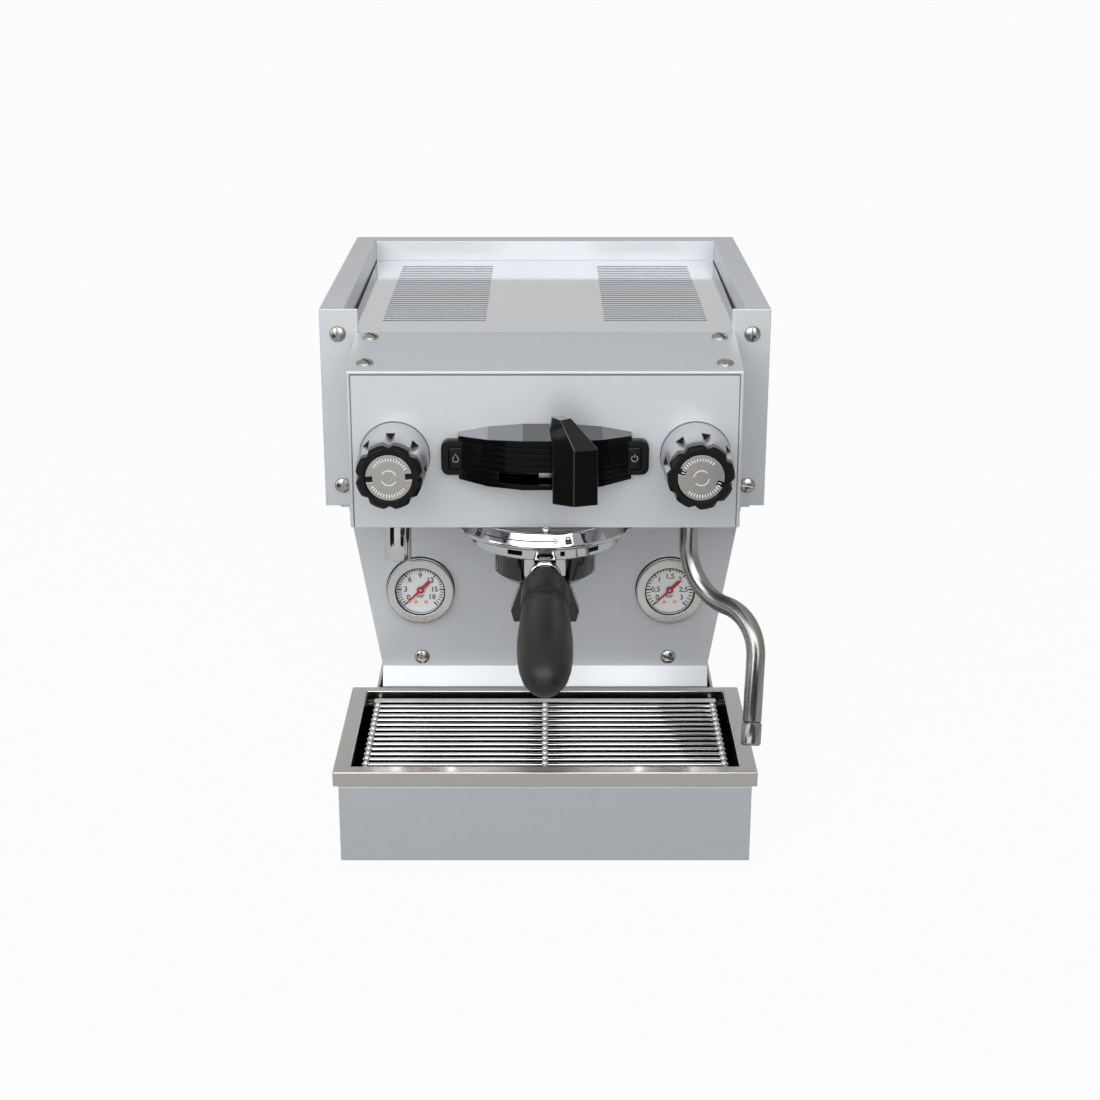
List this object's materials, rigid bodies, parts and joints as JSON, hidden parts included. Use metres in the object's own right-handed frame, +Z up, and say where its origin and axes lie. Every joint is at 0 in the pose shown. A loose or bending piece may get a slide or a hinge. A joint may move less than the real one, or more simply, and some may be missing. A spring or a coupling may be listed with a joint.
{
  "type": "espresso machine",
  "caption": "Compact home espresso machine with a bayonet portafilter, swinging brew paddle, steam wand, hot-water spout, pressure gauges, drip tray drawer and vented cup shelf.",
  "frame": {"origin": "on the worktop under the middle of the whole machine's box, handle included", "axes": "+Z up, -Y towards the person who uses it, +X to that person's right"},
  "size_m": [0.29, 0.48, 0.342],
  "materials": {
    "body_paint": "satin silver-grey",
    "stainless": "fine brushed",
    "polished_steel": "mirror polished",
    "gloss_black": "glossy",
    "matte_black": "soft matt",
    "black_rubber": "matt",
    "dial_white": "printed matt",
    "needle_red": "satin",
    "clear_glass": "clear",
    "tank_plastic": "frosted",
    "brass": "machined",
    "copper_pipe": "drawn"
  },
  "bodies": {
    "machine": {"backsplash_panel": "body_paint", "backsplash_screws": "stainless", "base_pan": "body_paint", "body_wrap": "body_paint", "boiler_saddles": "stainless", "coffee_boiler": "stainless", "coffee_gauge_case": "stainless", "coffee_gauge_dial": "dial_white", "coffee_gauge_lens": "clear_glass", "control_box": "matte_black", "cover_screws": "stainless", "feet": "black_rubber", "frame_plate": "body_paint", "front_panel": "body_paint", "group_gasket": "black_rubber", "group_head": "polished_steel", "hot_water_pipe": "copper_pipe", "hot_water_spout": "polished_steel", "hot_water_valve": "brass", "left_side_panel": "body_paint", "nose_cover": "body_paint", "paddle_housing": "gloss_black", "power_inlet": "matte_black", "pump": "brass", "pump_motor": "matte_black", "rear_panel": "body_paint", "right_side_panel": "body_paint", "shower_screen": "stainless", "steam_boiler": "stainless", "steam_gauge_case": "stainless", "steam_gauge_dial": "dial_white", "steam_gauge_lens": "clear_glass", "steam_pipe": "copper_pipe", "steam_valve": "brass", "top_plate": "body_paint", "wand_socket": "polished_steel", "water_tank": "tank_plastic", "wrap_screws": "stainless"},
    "paddle": {"paddle_arm": "stainless", "paddle_handle": "gloss_black"},
    "hot_water_knob": {"hot_water_knob_sleeve": "polished_steel", "hot_water_knob_grip": "gloss_black", "hot_water_knob_disc": "stainless"},
    "steam_knob": {"steam_knob_sleeve": "polished_steel", "steam_knob_grip": "gloss_black", "steam_knob_disc": "stainless"},
    "hot_water_push": {"hot_water_button": "gloss_black"},
    "power_push": {"power_button": "gloss_black"},
    "coffee_hand": {"coffee_needle": "needle_red"},
    "steam_hand": {"steam_needle": "needle_red"},
    "portafilter": {"portafilter_body": "polished_steel", "filter_basket": "stainless", "spout_block": "gloss_black", "portafilter_handle": "matte_black"},
    "wand": {"wand_tube": "polished_steel", "wand_tip": "polished_steel"},
    "tray": {"tray_rim": "stainless", "tray_bowl": "matte_black", "tray_fascia": "body_paint"},
    "grid": {"drip_grid": "stainless"}
  },
  "joints": [
    {"name": "paddle_swing", "type": "hinge", "parent": "machine", "child": "paddle", "pos_m": [0, -0.053, 0.255], "axis": [0, 0, 1], "range_deg": [-25, 0]},
    {"name": "hot_water_knob_turn", "type": "hinge", "parent": "machine", "child": "hot_water_knob", "pos_m": [-0.0935, -0.096, 0.263], "axis": [0, -1, 0], "range_deg": [0, 270]},
    {"name": "steam_knob_turn", "type": "hinge", "parent": "machine", "child": "steam_knob", "pos_m": [0.0935, -0.096, 0.263], "axis": [0, -1, 0], "range_deg": [0, 270]},
    {"name": "hot_water_button_press", "type": "slide", "parent": "machine", "child": "hot_water_push", "axis": [0, 1, 0], "range_m": [0, 0.0015], "stiffness_N_per_m": 400},
    {"name": "power_button_press", "type": "slide", "parent": "machine", "child": "power_push", "axis": [0, 1, 0], "range_m": [0, 0.0015], "stiffness_N_per_m": 400},
    {"name": "coffee_needle_turn", "type": "hinge", "parent": "machine", "child": "coffee_hand", "pos_m": [-0.086, 0, 0.1384], "axis": [0, 1, 0], "range_deg": [0, 270]},
    {"name": "steam_needle_turn", "type": "hinge", "parent": "machine", "child": "steam_hand", "pos_m": [0.086, 0, 0.1384], "axis": [0, 1, 0], "range_deg": [0, 270]},
    {"name": "portafilter_turn", "type": "hinge", "parent": "machine", "child": "portafilter", "pos_m": [0, -0.053, 0.2], "axis": [0, 0, 1], "range_deg": [-50, 0]},
    {"name": "wand_swivel", "type": "hinge", "parent": "machine", "child": "wand", "pos_m": [0.0935, -0.058, 0.218], "axis": [0, 0, 1], "range_deg": [-30, 60]},
    {"name": "tray_slide", "type": "slide", "parent": "machine", "child": "tray", "axis": [0, -1, 0], "range_m": [0, 0.15]},
    {"name": "grid_lift", "type": "slide", "parent": "tray", "child": "grid", "axis": [0, 0, 1], "range_m": [0, 0.06]}
  ]
}
